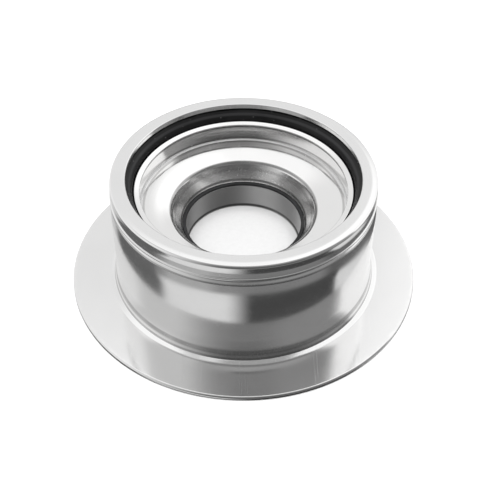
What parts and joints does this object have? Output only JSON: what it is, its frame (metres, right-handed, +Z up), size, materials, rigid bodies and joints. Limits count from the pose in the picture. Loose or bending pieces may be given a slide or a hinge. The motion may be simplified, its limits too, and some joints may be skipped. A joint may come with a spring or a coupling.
{
  "type": "garbage disposal sink flange with stopper",
  "caption": "Steel disposal sink flange: wide flat disc, straight neck with a snap-ring groove and inner ledge, and a dished stopper with a hollow knob and black rubber ring seated inside.",
  "frame": {"origin": "centre of the disc's flat lower face, the face that the sink bowl shows in use and that the part stands on here", "axes": "+Z runs up the neck's axis from the wide disc to the end ring, which is the disposal's end; X and Y lie in the disc and are alike, because the part is round"},
  "size_m": [0.1142, 0.1142, 0.0402],
  "materials": {
    "flange_steel": "drawn stainless sheet, polished",
    "ring_steel": "turned stainless, bright satin",
    "gasket_rubber": "moulded black rubber, satin",
    "clamp_steel": "turned stainless, bright satin",
    "dish_steel": "pressed stainless, polished",
    "knob_steel": "pressed stainless, polished",
    "seal_rubber": "moulded black rubber, satin"
  },
  "bodies": {
    "flange": {"sink_flange": "flange_steel", "neck_end_ring": "ring_steel"},
    "seal": {"stopper_gasket": "gasket_rubber"},
    "stopper": {"gasket_ring": "clamp_steel", "stopper_plate": "dish_steel", "knob_cup": "knob_steel", "knob_seal": "seal_rubber"}
  },
  "joints": [
    {"name": "stopper_lift", "type": "slide", "parent": "flange", "child": "seal", "axis": [0, 0, 1], "range_m": [-0.042, 0]},
    {"name": "stopper_turn", "type": "hinge", "parent": "seal", "child": "stopper", "pos_m": [0, 0, 0.024], "axis": [0, 0, 1], "continuous": true}
  ]
}
